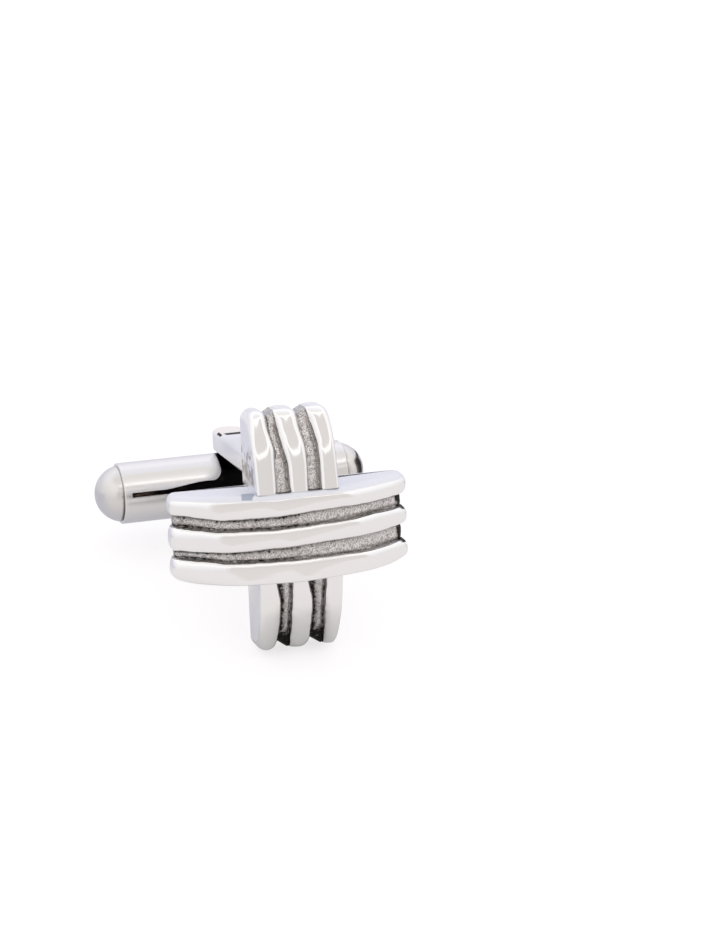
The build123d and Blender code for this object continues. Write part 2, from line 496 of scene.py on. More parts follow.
# %% The two bars
FRONT_LOOK = {
    "grooves": FRONT_GROOVES,
    "squareness": 3.8,
    "tip_length": 1.6,
    "facets": (-0.97, -0.64, -0.14, 0.50, 0.97),
    "facet_share": 0.6,
    "facet_slant": 0.35,
    "sides": (
        # place, drop and squareness of the outer ribs' outer edges, low side first
        ((0.0, 0.22, 5.0),),
        (
            (-1.0, 0.60, 2.2), (-0.7, 0.45, 2.2), (0.0, 0.40, 2.3), (0.3, 0.60, 2.1),
            (0.45, 0.75, 2.0), (0.75, 0.75, 2.0), (1.0, 0.60, 2.0),
        ),
    ),
    "soft_side": 9,
    "back_lift": 0.0,
    "noses": (((4.5, 1.1), (1.3, 0.4)), ((2.2, 0.65), (1.6, 0.5))),
    "end_floors": ((0.6, 0.6), (0.7, 0.7)),
    "end_soot_and_shade": ((0.35, 1.6), (0.95, 0.6)),
    "wall_ends": (0.3, 0.95),
    "tip_sink": (0.0, 0.0),
    "shade": (
        # place, low band, high band
        (-1.0, 1.3, 1.3), (-0.7, 0.5, 1.3), (-0.4, 0.7, 1.3), (0.0, 0.8, 1.3),
        (0.3, 0.25, 1.3), (0.8, 0.3, 1.2), (1.0, 0.6, 1.2),
    ),
    "shade_depth": ((0.85, 0.70), (0.45, 0.40)),
    "wall_soot_and_shade": (0.42, 0.42),
}
REAR_LOOK = {
    "grooves": REAR_GROOVES,
    "squareness": 2.7,
    "tip_length": 3.6,
    "facets": (-0.97, -0.62, -0.30, 0.30, 0.66, 0.92),
    "facet_share": 0.55,
    "facet_slant": 0.0,
    "sides": (((0.0, 0.40, 3.2),), ((0.0, 0.40, 3.2),)),
    "soft_side": 1,
    "back_lift": 0.006,
    "noses": (((3.2, 1.1), (1.8, 0.6)), ((2.2, 0.75), (2.2, 0.75))),
    "end_floors": ((0.22, 1.15), (0.25, 0.9)),
    "end_soot_and_shade": ((0.95, 1.6), (0.3, 0.4)),
    "wall_ends": (0.0, 0.0),
    "tip_sink": (0.13, 0.0),
    "shade": (
        # place, low band, high band
        (-1.0, 0.6, 1.6), (-0.7, 0.5, 1.5), (-0.36, 0.5, 1.4), (0.36, 1.1, 0.4),
        (0.6, 1.3, 0.3), (0.8, 0.9, 0.3), (1.0, 0.5, 0.3),
    ),
    "shade_depth": ((0.65, 1.0), (0.36, 0.36)),
    "wall_soot_and_shade": (0.58, 0.32),
}
front_rows, front_values = bar_grid(
    front_half, front_side, front_crown, front_end, FRONT_LOOK, seed=1
)
rear_rows, rear_values = bar_grid(rear_half, rear_side, rear_crown, rear_end, REAR_LOOK, seed=2)
rear_rows = rear_rows[..., (1, 0, 2)] * (-1, 1, 1)
front_bar = object_of(grid_mesh("front_bar", front_rows))
rear_bar = object_of(grid_mesh("rear_bar", rear_rows))
report(front_bar)
report(rear_bar)

# %% [markdown]
# ## Posts
#
# Each post is a flat bar with a round far end, and all its edges are softened by
# polishing. A cube with a bevel would do for the bar, but the round end wants an even
# edge all round. So the outline is worked out at several insets, like the contour
# lines of a pillow, and the rings are joined from one face to the other.

# %% Pillow and post
tube_radius = 2.2
swing_gap = 0.1
post_half = 1.15
post_thick = 1.65
post_edge = 0.35
post_root = 1.1
face_step = 0.03
EDGE_STEPS = 7
ROUND_STEPS = 28


def pillow(outline, half_thick, edge):
    """Rings of an outline drawn at several insets, from the lower face to the upper."""
    turn = np.linspace(0, math.pi / 2, EDGE_STEPS)
    insets = edge * (1 - np.cos(turn))
    heights = half_thick - edge + edge * np.sin(turn)
    rings = [(edge + face_step, -half_thick)]
    rings += list(zip(insets[::-1], -heights[::-1]))
    rings += list(zip(insets, heights))
    rings += [(edge + face_step, half_thick)]
    return [np.c_[outline(gap), np.full(len(outline(gap)), level)] for gap, level in rings]


def rings_mesh(name, rings):
    """A closed mesh through rings of as many points each, capped at both ends."""
    wide = len(rings[0])
    faces = quads(len(rings), wide, False, True)
    faces.append(list(reversed(range(wide))))
    faces.append([(len(rings) - 1) * wide + c for c in range(wide)])
    return mesh_of(name, np.vstack(rings), faces)


def post_outline(gap):
    """The post from the front side: straight from its root, round at its far end."""
    half = post_half - gap
    turn = np.linspace(0, math.pi, ROUND_STEPS)
    end = np.c_[half * np.cos(turn), -post_reach - half * np.sin(turn)]
    return np.vstack(((half, post_root), end, (-half, post_root)))


post_places = [
    side * (tube_radius + swing_gap + post_thick / 2) - post_drop for side in (-1, 1)
]
posts = []
for place in post_places:
    rings = pillow(post_outline, post_thick / 2, post_edge)
    rings = [np.c_[ring[:, 0], place + ring[:, 2], ring[:, 1]] for ring in rings]
    mesh = rings_mesh("post", rings)
    mesh.flip_normals()
    posts.append(object_of(mesh))
    report(posts[-1])

# %% Unite the head
cover = half_moon(front_half, front_crown, front_end)
rings = [np.insert(cover, 1, y, axis=1) for y in (-front_side, front_side)]
moon = object_of(rings_mesh("moon", rings))
report(moon)
combine(rear_bar, moon, "DIFFERENCE")
head = combine(front_bar, rear_bar, "UNION")
for post in posts:
    combine(head, post, "UNION")
head.name = head.data.name = "cast_cross"
report(head)

# %% [markdown]
# The union is one closed piece now. Before it is turned into place, its stored values
# are looked up from the two grids, and a fourth one is made: how close a point is to the
# seam where an arm of the rear bar runs into the front bar. Polish can't reach into
# that seam, so a thin dark line stays there, darkest where a groove meets it. The posts
# are ground flat like the side faces, so they get the same side value.

# %% Values for the materials
from mathutils.kdtree import KDTree


def nearest_values(points, grids, values):
    """Values of the nearest grid point for each point, or 0 where none is near."""
    grid = np.vstack([rows.reshape(-1, 3) for rows in grids])
    values = np.vstack([rows.reshape(-1, rows.shape[-1]) for rows in values])
    tree = KDTree(len(grid))
    for i, point in enumerate(grid):
        tree.insert(point, i)
    tree.balance()
    found = [tree.find(point) for point in points]
    near = np.array([distance < near_enough for _, _, distance in found], float)
    return (values[[i for _, i, _ in found]] * near[:, None]).T


def store(piece, key, values):
    """Keep one number with every point of a piece, for its material to read."""
    piece.data.attributes.new(key, "FLOAT", "POINT").data.foreach_set("value", values)


def points_of(piece):
    """A piece's points as an array."""
    flat = np.empty(len(piece.data.vertices) * 3)
    piece.data.vertices.foreach_get("co", flat)
    return flat.reshape(-1, 3)


near_enough = 0.2
seam_width = 0.13
x, y, z = points_of(head).T
black, soot_and_shade, side = nearest_values(
    points_of(head), (front_rows, rear_rows), (front_values, rear_values)
)
grooved = nearest_values(points_of(head), (rear_rows,), (rear_values,))[0]
off_seam = np.abs(np.abs(y) - front_side)
on_arm = (np.abs(x) < rear_side + 0.01) & (z > 0.3)
seam = np.where(on_arm & (off_seam < seam_width), 1 - off_seam / seam_width, 0)
store(head, "black", black)
store(head, "soot_and_shade", soot_and_shade)
store(head, "side", np.where(z < -0.02, 1, side))
store(head, "seam", seam * (0.35 + 0.65 * grooved))


def set_in_place(piece, axes, place, body, slot, *nodes):
    """Turn a piece into the row frame, and tell the frame what it rides on and replaces."""
    placed = to_row(points_of(piece), axes, place)
    piece.data.vertices.foreach_set("co", placed.ravel())
    piece.data.update()
    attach(piece, body)
    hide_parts(*nodes)
    return piece


set_in_place(smooth(head), head_axes, head_place, "head", "polished_steel", "cross_head")

# %% [markdown]
# ## The toggle
#
# The toggle is a drawn tube with a slot sawn into one half. Near the posts the slot
# opens out round two lips. The tube is turned on a lathe in code: a profile of its wall
# is spun round the axis. The slot is cut with a boolean, as the saw does it, and a small
# bevel breaks the sawn edges.

# %% Lathe and tube
tube_wall = 0.4
tube_rim = 0.1
bore_edge = 0.04
tube_low, tube_high = reach("toggle_tube", toggle_way)
tube_half = (tube_high - tube_low) / 2
bore = tube_radius - tube_wall


def outward(piece):
    """Turn every face of a closed piece outward."""
    work = bmesh.new()
    work.from_mesh(piece.data)
    bmesh.ops.recalc_face_normals(work, faces=work.faces)
    work.to_mesh(piece.data)
    work.free()
    return piece


def lathe(name, profile, around, hollow=False):
    """Spin a profile of (x, radius) points round the x axis into a closed piece."""
    turns = np.linspace(0, 2 * math.pi, around, endpoint=False)
    rings = [np.c_[np.full(around, x), r * np.cos(turns), r * np.sin(turns)] for x, r in profile]
    if hollow:
        mesh = mesh_of(name, np.vstack(rings), quads(len(rings), around, True, True))
    else:
        mesh = rings_mesh(name, rings)
    return outward(object_of(mesh))


def arc(centre_x, centre_r, radius, start, stop, steps):
    """Profile points on an arc; angles in degrees, 0 along x and 90 away from the axis."""
    turn = np.radians(np.linspace(start, stop, steps))
    return [(centre_x + radius * math.cos(t), centre_r + radius * math.sin(t)) for t in turn]


rim = arc(tube_half - tube_rim, tube_radius - tube_rim, tube_rim, 90, 0, 6)
right_side = rim + [(tube_half, bore + bore_edge), (tube_half - bore_edge, bore)]
left_side = [(-x, r) for x, r in right_side]
lengths = np.linspace(-tube_half + tube_rim, tube_half - tube_rim, 60)[1:-1]
profile = left_side[::-1] + [(x, tube_radius) for x in lengths] + right_side
tube = lathe("bullet_tube", profile, 160, hollow=True)
report(tube)

# %% [markdown]
# The slot starts narrow, flares towards the pin, and ends in two round lips at the
# opening, where the posts pass when the toggle turns. Its outline is worked out point by
# point, because a spline drawn by hand could not be matched to the frame's numbers.

# %% The slot
slot_land = 0.54
slot_start = tube_half - slot_land
slot_half = 0.16
slot_rise = 0.24
flare_start = 5.4
flare_half = 0.46
flare_bulge = 0.06
lip_reach = 1.13
lip_round = 0.75
opening_reach = 1.3
opening_half = 0.64
FLARE_STEPS = 24
LIP_STEPS = 14


def slot_outline():
    """The upper half of the slot from the side of the head, left end first."""
    ease = np.linspace(0, 1, FLARE_STEPS)
    reach_x = -flare_start + (flare_start - lip_reach - lip_round) * ease
    flare = slot_half + (flare_half - slot_half) * (3 * ease ** 2 - 2 * ease ** 3)
    flare += flare_bulge * 4 * ease * (1 - ease)
    turn = np.linspace(0, math.pi / 2, LIP_STEPS)[1:]
    lip_x = -lip_reach - lip_round + lip_round * np.sin(turn)
    lip_y = flare_half + lip_round * (1 - np.cos(turn))
    points = [(-slot_start, slot_half)] + list(zip(reach_x, flare)) + list(zip(lip_x, lip_y))
    return points + [(-lip_reach, 2 * tube_radius), (opening_reach, 2 * tube_radius)]


def prism(name, outline, low, high):
    """An outline of (x, y) points drawn out along z, to cut with."""
    rings = [np.c_[outline, np.full(len(outline), z)] for z in (low, high)]
    return outward(object_of(rings_mesh(name, rings)))


upper = slot_outline()
outline = np.array(upper + [(x, -y) for x, y in reversed(upper)]) + (0, slot_rise)
combine(tube, prism("slot_cutter", outline, 0, 5), "DIFFERENCE")
outline = [(-lip_reach, -5), (opening_reach, -5), (opening_reach, 5), (-lip_reach, 5)]
combine(tube, prism("side_cutter", outline, -opening_half, opening_half), "DIFFERENCE")


def break_edges(piece, width, segments):
    """Round every sharp edge of a piece a little."""
    step = piece.modifiers.new("edges", "BEVEL")
    step.width = width
    step.segments = segments
    step.limit_method = "ANGLE"
    step.angle_limit = math.radians(40)
    step.use_clamp_overlap = True
    return bake(piece)


work = bmesh.new()
work.from_mesh(tube.data)
bmesh.ops.remove_doubles(work, verts=work.verts, dist=0.004)
bmesh.ops.dissolve_degenerate(work, edges=work.edges, dist=0.002)
work.to_mesh(tube.data)
work.free()
break_edges(tube, 0.08, 3)
report(tube)
x, y, z = points_of(tube).T
# Painted shade: the bore and the sawn walls of the slot turn near black, as little light gets into the tube.
depth_in_wall = np.clip((tube_radius - np.hypot(y, z)) / tube_wall * 2.5, 0, 1)
store(tube, "soot_and_shade", np.where(np.abs(x) < tube_half - 0.15, depth_in_wall, 0))
set_in_place(smooth(tube, 50), toggle_axes, pivot_place, "toggle", "polished_steel", "toggle_tube")

# %% [markdown]
# ## Domes, leaf and pin
#
# A dome is a little less than half a ball, on a short shank that sits in the tube. Both
# are spun on the lathe. A ball with half its faces deleted would do too, but it has no
# shank. Old polish stays at the dome's brim, and painted shade darkens it most underneath;
# the soot_and_shade value says how much.

# %% Domes
dome_radius = 2.06
dome_sink = 0.38
dome_shank = 0.5
dome_neck = 0.005
brim_rise = 0.14
shank_edge = 0.1
fit_gap = 0.03
shank_radius = bore - fit_gap
cap_high = reach("toggle_cap_right", toggle_way)[1]
shoulder = cap_high - dome_radius + dome_sink
start = math.degrees(math.acos((dome_sink + brim_rise) / dome_radius))
ball = arc(shoulder - dome_sink, 0, dome_radius, start, 1.5, 40)
brim = ball[0][1]
profile = [
    (shoulder - dome_shank, shank_radius - shank_edge),
    (shoulder - dome_shank + shank_edge, shank_radius),
    (shoulder - 0.02, shank_radius),
    (shoulder - 0.02, brim - dome_neck - 0.02),
    (shoulder + 0.02, brim - dome_neck),
    (shoulder + 0.07, brim - 0.01),
]
domes = []
for side, angle in (("right", 0), ("left", math.pi)):
    dome = lathe("dome_" + side, profile + ball, 96)
    dome.data.transform(Matrix.Rotation(angle, 4, "Z"))
    report(dome)
    x, y, z = points_of(dome).T
    ring = np.clip(1 - (np.abs(x) - shoulder) / 0.2, 0, 1)
    # Painted shade: the brim is darker underneath.
    underneath = np.clip(0.5 - y / dome_radius, 0, 1)
    store(dome, "soot_and_shade", ring * (0.35 + 0.65 * underneath))
    node = "toggle_cap_" + side
    set_in_place(smooth(dome), toggle_axes, pivot_place, "toggle", "polished_steel", node)
    domes.append(dome)

# %% [markdown]
# The leaf is the round inner bar, cut to an outline that tapers under the slot. The pin
# is a plain wire from post to post, with its ends hidden in them.

# %% Leaf and pin
leaf_half = 1.1
leaf_tip = 0.12
pin_radius = 0.5
pin_running_gap = 0.04
pin_bevel = 0.08
past = 3
leaf_low, leaf_high = reach("toggle_leaf", toggle_way)
leaf = lathe("inner_leaf", [(x, shank_radius) for x in (leaf_low, -2, 2, leaf_high)], 96)
lower = [
    (leaf_low - 0.1, -leaf_tip), (-lip_reach, -leaf_half), (opening_reach, -leaf_half),
    (opening_reach, -past), (leaf_high + 1, -past),
]
outline = lower + [(x, -y) for x, y in reversed(lower)]
combine(leaf, prism("leaf_outline", outline, -past, past), "INTERSECT")
hole = lathe("hole", [(x, pin_radius + pin_running_gap) for x in (-past, past)], 48)
hole.data.transform(Matrix.Rotation(math.pi / 2, 4, "Z"))
combine(leaf, hole, "DIFFERENCE")
break_edges(leaf, 0.04, 2)
report(leaf)
set_in_place(smooth(leaf), toggle_axes, pivot_place, "toggle", "blackened_steel", "toggle_leaf")

pin_low = reach("pivot_pin", up_rear_bar)[0]
bevel = [(pin_low, pin_radius - pin_bevel), (pin_low + pin_bevel, pin_radius)]
pin = lathe("swivel_pin", bevel + [(-x, r) for x, r in reversed(bevel)], 64)
pin.data.transform(Matrix.Rotation(math.pi / 2, 4, "Z"))
report(pin)
set_in_place(smooth(pin), head_axes, pivot_place, "head", "blackened_steel", "pivot_pin")

# %% [markdown]
# ## Finishes
#
# Every piece is the same steel, and only its surface differs: mirror polished on the
# head, a little duller on the tube and the domes, blackened in the grooves. Node trees
# are built in code here, so a few helpers come first. They add a node, feed its inputs
# with numbers or with other nodes' outputs, and give back the output that is wanted.

# %% Helpers for node trees
FLOAT = "NodeSocketFloat"
COLOUR = "NodeSocketColor"
VECTOR = "NodeSocketVector"


def feed(tree, socket, value):
    """Link an input to another node's output, or set it to a number or colour."""
    if isinstance(value, bpy.types.NodeSocket):
        tree.links.new(value, socket)
    else:
        socket.default_value = (*value, 1) if socket.type == "RGBA" else value


def wire(tree, node, **values):
    """Feed inputs of a node by their names."""
    for key, value in values.items():
        feed(tree, node.inputs[key.replace("_", " ")], value)


def put(tree, kind, settings=None, **values):
    """Add a node with some settings and inputs."""
    made = tree.nodes.new(kind)
    for key, value in (settings or {}).items():
        setattr(made, key, value)
    wire(tree, made, **values)
    return made


def maths(tree, operation, *values):
    """A Math node's result."""
    made = put(tree, "ShaderNodeMath", {"operation": operation})
    for socket, value in zip(made.inputs, values):
        feed(tree, socket, value)
    return made.outputs[0]


def vectors(tree, operation, value, other=(0, 0, 0)):
    """A Vector Math node's result."""
    made = put(tree, "ShaderNodeVectorMath", {"operation": operation}, Vector=value)
    made.inputs[1].default_value = other
    return made.outputs["Value" if operation in ("DOT_PRODUCT", "DISTANCE") else "Vector"]


def product(tree, first, *values):
    """All values multiplied."""
    for value in values:
        first = maths(tree, "MULTIPLY", first, value)
    return first


def span(tree, value, low, high, to_low=0.0, to_high=1.0):
    """A value carried smoothly from one range to another, and held at both ends."""
    ends = dict(From_Min=low, From_Max=high, To_Min=to_low, To_Max=to_high)
    curve = {"interpolation_type": "SMOOTHSTEP"}
    return put(tree, "ShaderNodeMapRange", curve, Value=value, **ends).outputs["Result"]


def inside(tree, *rows):
    """1 where all of several spans are full, from rows of (value, low, high)."""
    return product(tree, *[span(tree, *row) for row in rows])


def off(tree, value, middle):
    """How far a value lies from a middle one."""
    return maths(tree, "ABSOLUTE", maths(tree, "SUBTRACT", value, middle))


def blend(tree, share, first, second, kind="RGBA"):
    """First colour or vector at share 0, second at share 1."""
    made = put(tree, "ShaderNodeMix", {"data_type": kind})
    at, out = {"RGBA": (6, 2), "VECTOR": (4, 1)}[kind]
    for i, value in ((0, share), (at, first), (at + 1, second)):
        feed(tree, made.inputs[i], value)
    return made.outputs[out]


def noise_at(tree, place, size, detail):
    """Noise with a scale and detail, read at a place."""
    return put(tree, "ShaderNodeTexNoise", Vector=place, Scale=size, Detail=detail).outputs[0]


def stored(tree, key):
    """A number that was stored with the points of a mesh."""
    return put(tree, "ShaderNodeAttribute", {"attribute_name": key}).outputs["Fac"]


def place_in_mm(tree):
    """The place on a piece, in millimetres."""
    place = put(tree, "ShaderNodeTexCoord").outputs["Object"]
    return vectors(tree, "MULTIPLY", place, (1 / MM, 1 / MM, 1 / MM))


def new_group(name, inputs, outputs):
    """An empty node group with named inputs (kind, default) and outputs (kind)."""
    tree = bpy.data.node_groups.new(name, "ShaderNodeTree")
    for key, (kind, default) in inputs.items():
        socket = tree.interface.new_socket(key, in_out="INPUT", socket_type=kind)
        socket.default_value = default
    for key, kind in outputs.items():
        tree.interface.new_socket(key, in_out="OUTPUT", socket_type=kind)
    given = tree.nodes.new("NodeGroupInput").outputs
    return tree, given, tree.nodes.new("NodeGroupOutput")


def use_group(tree, group, **values):
    """Place a group in a material, with its own values."""
    return put(tree, "ShaderNodeGroup", {"node_tree": group}, **values).outputs


def new_material(name):
    """A material with a fresh tree, its Principled shader and its output."""
    made = bpy.data.materials.new(name)
    made.use_nodes = True
    tree = made.node_tree
    tree.nodes.clear()
    shader = put(tree, "ShaderNodeBsdfPrincipled")
    put(tree, "ShaderNodeOutputMaterial", Surface=shader.outputs[0])
    return made, tree, shader


def finish_with(material, *pieces):
    """Give some pieces one material."""
    for piece in pieces:
        piece.data.materials.clear()
        piece.data.materials.append(material)
        print(piece.name, "is", material.name)


# %% [markdown]
# Two effects are used by more than one material, so each is a node group. The first is
# the marks of polishing: slow waves that bend the reflections, and a haze that comes
# and goes. A scratched image would show its repeats on so small a piece.

# %% Polish marks
polish, given, result = new_group(
    "Polish marks",
    {
        "Wave size": (FLOAT, 1.6),
        "Wave height": (FLOAT, 0.02),
        "Haze": (FLOAT, 0.08),
        "Haze spread": (FLOAT, 0.05),
    },
    {"Roughness": FLOAT, "Normal": VECTOR},
)
place = place_in_mm(polish)
wave = noise_at(polish, place, maths(polish, "DIVIDE", 1.0, given["Wave size"]), 1.0)
height = maths(polish, "MULTIPLY", given["Wave height"], MM)
bump = put(polish, "ShaderNodeBump", Height=wave, Strength=1.0, Distance=height)
rub = span(polish, noise_at(polish, place, 1.7, 4.0), 0.42, 0.7)
rough = maths(polish, "ADD", maths(polish, "MULTIPLY", rub, given["Haze spread"]), given["Haze"])
wire(polish, result, Roughness=rough, Normal=bump.outputs[0])
print(polish.name, "has", len(polish.nodes), "nodes")

# %% [markdown]
# The second effect is the cast skin on the groove floors, which the polishing wheel
# can't reach: bright grains in grey, under more or less soot and painted shade. Modelling
# every grain would take millions of faces, so the floors have only a coarse unevenness
# in their mesh, and the fine one is a bump.

# %% Cast grain
grain, given, result = new_group(
    "Cast grain",
    {
        "Grain size": (FLOAT, 0.07),
        "Dark": (COLOUR, (0.02, 0.018, 0.017, 1)),
        "Middle": (COLOUR, (0.24, 0.225, 0.22, 1)),
        "Light": (COLOUR, (0.78, 0.76, 0.74, 1)),
        "Soot": (FLOAT, 0.0),
        "Bite": (FLOAT, 0.5),
    },
    {"Colour": COLOUR, "Roughness": FLOAT, "Normal": VECTOR},
)
place = place_in_mm(grain)
fine = maths(grain, "DIVIDE", 1.0, given["Grain size"])
speck = noise_at(grain, place, fine, 2.0)
patch = noise_at(grain, place, maths(grain, "MULTIPLY", fine, 0.28), 3.0)
speckle = maths(grain, "ADD", product(grain, speck, 0.6), product(grain, patch, 0.4))
colour = blend(grain, span(grain, speckle, 0.38, 0.62), given["Middle"], given["Light"])
uneven = maths(grain, "MULTIPLY_ADD", maths(grain, "SUBTRACT", patch, 0.5), 1.6, given["Soot"])
colour = blend(grain, span(grain, uneven, 0.15, 0.85), colour, given["Dark"])
rough = span(grain, speckle, 0.3, 0.7, 0.55, 0.34)
bump = put(grain, "ShaderNodeBump", Height=speckle, Strength=given["Bite"], Distance=0.05 * MM)
wire(grain, result, Colour=colour, Roughness=rough, Normal=bump.outputs[0])
print(grain.name, "has", len(grain.nodes), "nodes")

# %% [markdown]
# The head's material mixes both groups by the values stored in its mesh: cast grain on
# the groove floors and walls, polish marks everywhere else, and soot in the seams. Other
# marks are placed by their distance from the head's middle, in millimetres along the front
# bar, up the rear bar and out of the face: a grey patch on the side of the upper arm, a
# beige patch and a black line and corner on the upper post's end, the dark line where the
# upper arm meets the front bar, and there a painted reflection, a dark cool patch.

# %% Steel of the head
STEEL = (0.92, 0.91, 0.90)
# Side faces: satin steel with a cool tint that is a painted reflection.
SIDE_STEEL_WITH_COOL_SHEEN = (0.79, 0.80, 0.85)
# Posts: painted shade, darker near the head and lighter at the far end.
POST_STEELS_SHADED_TO_LIT = ((0.68, 0.69, 0.73), (0.88, 0.88, 0.91))
# A grey patch on the side of the upper arm, in colour only.
GREY_PATCH_COLOUR = (0.34, 0.31, 0.295)
BEIGE_POST_COLOUR = (0.90, 0.85, 0.82)
# Painted reflection: a dark cool patch where the upper arm meets the front bar.
PAINTED_REFLECTION_COLOUR = (0.40, 0.44, 0.52)
DARK_LINE_COLOUR = (0.02, 0.018, 0.017)
head_steel, tree, shader = new_material("polished and blackened steel")
black, soot_and_shade, seam, side = [stored(tree, key) for key in ("black", "soot_and_shade", "seam", "side")]
spot = put(tree, "ShaderNodeNewGeometry").outputs["Position"]
from_head = vectors(tree, "SUBTRACT", spot, head_place * MM)
along, up, out = [vectors(tree, "DOT_PRODUCT", from_head, axis / MM) for axis in head_axes]

patch_foot = maths(tree, "MULTIPLY_ADD", out, 0.16, up)
patch_noise = noise_at(tree, from_head, 2200.0, 4.0)
patchy = maths(tree, "MULTIPLY_ADD", span(tree, up, 5.6, 3.8), 0.16, patch_noise)
grey_side_patch = inside(
    tree, (along, -rear_side + 0.12, -rear_side + 0.02), (up, 6.2, 5.3), (out, 3.5, 2.8),
    (patch_foot, 3.75, 4.1), (patchy, 0.44, 0.68),
)
# A black line and corner and a beige patch on the upper post's end, in colour.
post_top = post_places[1] + post_thick / 2
on_top = inside(tree, (up, post_top - 0.2, post_top - 0.12), (out, -1.0, -2.0))
post_line = inside(tree, (off(tree, out, -13.2), 0.42, 0.3), (along, -0.85, -0.6))
corner = inside(tree, (off(tree, out, -13.65), 0.6, 0.5), (along, -0.9, -0.95))
mark = product(tree, maths(tree, "MAXIMUM", post_line, corner), on_top)
beige_post_end = product(tree, span(tree, out, -13.0, -13.3), on_top)

under_grooves = [span(tree, off(tree, along, at), 0.5, 0.38) for at in (-0.98, 1.17)]
darkest = maths(tree, "MULTIPLY_ADD", maths(tree, "MAXIMUM", *under_grooves), 0.7, 0.25)
ledge = inside(
    tree, (off(tree, up, front_side), 0.05, 0.02), (out, 3.0, 3.3),
    (maths(tree, "ABSOLUTE", along), rear_side + 0.03, rear_side - 0.03), (out, 4.05, 3.75),
)
ledge = product(tree, ledge, darkest)
left_edge = maths(tree, "MULTIPLY_ADD", out, 0.226, along)
right_edge = maths(tree, "MULTIPLY_ADD", out, 0.77, along)
# Painted reflection of the dark inside, on the front bar's side by the upper arm.
painted_reflection_patch = inside(
    tree, (left_edge, -3.08, -2.98), (right_edge, -0.15, -0.25),
    (along, -rear_side, -rear_side - 0.05), (out, 2.7, 2.9), (up, 2.72, 2.8),
    (up, front_side + 0.05, front_side + 0.02),
)

polished = use_group(tree, polish, Wave_height=0.005, Haze=0.07, Haze_spread=0.03)
cast = use_group(
    tree, grain, Soot=soot_and_shade, Bite=0.6, Middle=(0.36, 0.335, 0.325), Light=(0.92, 0.90, 0.88)
)
in_groove = span(tree, black, 0.3, 0.7)
# Painted shade on the posts, darker near the head.
post_steel_with_shade = blend(tree, span(tree, out, -9.5, -14.5), *POST_STEELS_SHADED_TO_LIT)
colour = STEEL
for share, layer in (
    (side, blend(tree, span(tree, out, 0.0, -0.1), SIDE_STEEL_WITH_COOL_SHEEN, post_steel_with_shade)),
    (grey_side_patch, GREY_PATCH_COLOUR),
    (beige_post_end, BEIGE_POST_COLOUR),
    (painted_reflection_patch, PAINTED_REFLECTION_COLOUR),
    (maths(tree, "MAXIMUM", mark, ledge), DARK_LINE_COLOUR),
    (span(tree, seam, 0.45, 1.0, 0.0, 0.6), DARK_LINE_COLOUR),
    (in_groove, cast["Colour"]),
):
    colour = blend(tree, share, colour, layer)
outside_rough = maths(tree, "MULTIPLY_ADD", side, 0.36, polished["Roughness"])
outside_rough = product(tree, maths(tree, "SUBTRACT", 1.0, in_groove), outside_rough)
wire(
    tree, shader, Base_Color=colour,
    Roughness=maths(tree, "ADD", product(tree, in_groove, cast["Roughness"]), outside_rough),
    Metallic=maths(tree, "MULTIPLY_ADD", side, -0.6, 1.0),
    Specular_IOR_Level=maths(tree, "MULTIPLY_ADD", mark, -0.5, 0.5),
    Normal=blend(tree, in_groove, polished["Normal"], cast["Normal"], "VECTOR"),
)
finish_with(head_steel, head)

# %% [markdown]
# Tube and domes are drawn and turned steel, slightly duller than the head. They differ
# in a few numbers only, so one loop makes both materials. Where soot_and_shade is high
# they turn dark: soot, and painted shade inside the tube and under the domes' brims.
# The leaf is seen through the slot as brown metal at its far end, and further in it is
# painted black, as painted shade inside the tube.

# %% Steel of the toggle
TOGGLE_STEELS = (
    # name, pieces, wave size, wave height, haze, span of the soot and shade, clean, with soot and shade
    ("drawn tube steel", [tube], 3.0, 0.003, 0.19, (0.0, 0.6),
     (0.79, 0.775, 0.765), (0.004, 0.003, 0.003)),
    ("satin dome steel", domes, 1.2, 0.004, 0.2, (0.1, 0.9),
     (0.73, 0.71, 0.69), (0.20, 0.17, 0.155)),
)
for name, pieces, size, height, haze, soot_and_shade_span, clean, soot_and_shade_colour in TOGGLE_STEELS:
    material, tree, shader = new_material(name)
    marks = use_group(
        tree, polish, Wave_size=size, Wave_height=height, Haze=haze, Haze_spread=0.05
    )
    soot_and_shade = span(tree, stored(tree, "soot_and_shade"), *soot_and_shade_span)
    wire(
        tree, shader, Base_Color=blend(tree, soot_and_shade, clean, soot_and_shade_colour), Metallic=1.0,
        Roughness=marks["Roughness"], Normal=marks["Normal"],
    )
    finish_with(material, *pieces)

# Painted shade: the leaf turns black further into the tube, and the pin, in the dark between the posts, gets the
# same black.
shaded_leaf_steel, tree, shader = new_material("blackened and shaded leaf steel")
spot = put(tree, "ShaderNodeNewGeometry").outputs["Position"]
along = vectors(tree, "DOT_PRODUCT", spot, toggle_way / MM)
leaf_start = pivot_place @ toggle_way + leaf_low
cast = use_group(
    tree, grain, Grain_size=0.2, Dark=(0.0005, 0.0005, 0.0005), Middle=(0.14, 0.08, 0.065),
    Light=(0.22, 0.14, 0.115), Bite=0.2,
    Soot=span(tree, along, leaf_start - 0.5, leaf_start + 3.0),
)
wire(
    tree, shader, Base_Color=cast["Colour"], Specular_IOR_Level=0.05,
    Roughness=cast["Roughness"], Normal=cast["Normal"],
)
finish_with(shaded_leaf_steel, pin, leaf)

# %% [markdown]
# ## Floor, studio and camera
#
# Polished metal shows only what is round it, so the studio is most of the look. A few
# area lights would leave hard black gaps between them. Instead the world is painted by
# direction: a pale warm room in front with two white strips, white walls at the sides,
# and a cool white wall behind. The ramps are read by height above the horizon.

